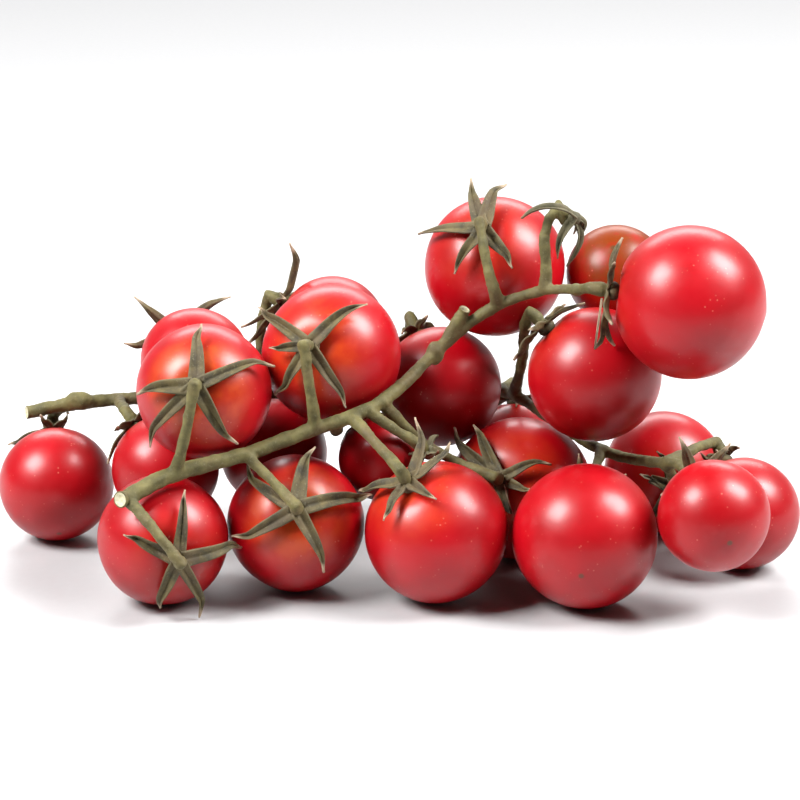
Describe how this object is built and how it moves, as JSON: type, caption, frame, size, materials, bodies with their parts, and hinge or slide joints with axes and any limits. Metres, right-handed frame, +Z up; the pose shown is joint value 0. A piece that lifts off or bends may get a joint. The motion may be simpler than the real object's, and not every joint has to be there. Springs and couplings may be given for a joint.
{
  "type": "truss of tomatoes",
  "caption": "Forked truss of ripe cherry tomatoes lying on their sides, on a curved green stem with cut ends and star-shaped calyxes.",
  "frame": {"origin": "middle of the truss's box, on the surface that it lies on", "axes": "+X along the truss, from the cut ends of the stem to its tips; +Y to the far side, away from the side where most calyxes face; +Z up"},
  "size_m": [0.174, 0.0886, 0.0808],
  "materials": {
    "tomato_skin": "smooth ripe red skin with a soft gloss and small pale flecks",
    "ripening_skin": "smooth skin, part orange and part red, with a soft gloss",
    "sepal_green": "matt, finely hairy grey-green leaf with dry pale tips",
    "stem_green": "matt, finely hairy green stem with brownish flecks and cream cut ends",
    "dry_flower": "dry, curled, brownish green"
  },
  "bodies": {
    "root": {"tomato_01": "tomato_skin", "tomato_02": "tomato_skin", "tomato_03": "tomato_skin", "tomato_04": "tomato_skin", "tomato_05": "tomato_skin", "tomato_06": "tomato_skin", "tomato_07": "tomato_skin", "tomato_08": "ripening_skin", "tomato_09": "tomato_skin", "tomato_10": "tomato_skin", "tomato_11": "tomato_skin", "tomato_12": "tomato_skin", "tomato_13": "tomato_skin", "tomato_14": "tomato_skin", "tomato_15": "tomato_skin", "tomato_16": "tomato_skin", "tomato_17": "tomato_skin", "tomato_18": "tomato_skin", "tomato_19": "tomato_skin", "tomato_20": "tomato_skin", "tomato_21": "tomato_skin", "tomato_22": "tomato_skin", "calyx_01": "sepal_green", "calyx_02": "sepal_green", "calyx_03": "sepal_green", "calyx_04": "sepal_green", "calyx_05": "sepal_green", "calyx_06": "sepal_green", "calyx_07": "sepal_green", "calyx_08": "sepal_green", "calyx_09": "sepal_green", "calyx_10": "sepal_green", "calyx_11": "sepal_green", "calyx_12": "sepal_green", "calyx_13": "sepal_green", "calyx_14": "sepal_green", "calyx_15": "sepal_green", "calyx_16": "sepal_green", "calyx_17": "sepal_green", "calyx_18": "sepal_green", "calyx_19": "sepal_green", "calyx_20": "sepal_green", "calyx_21": "sepal_green", "calyx_22": "sepal_green", "withered_flower_1": "dry_flower", "withered_flower_2": "dry_flower", "vine": "stem_green"}
  },
  "joints": []
}
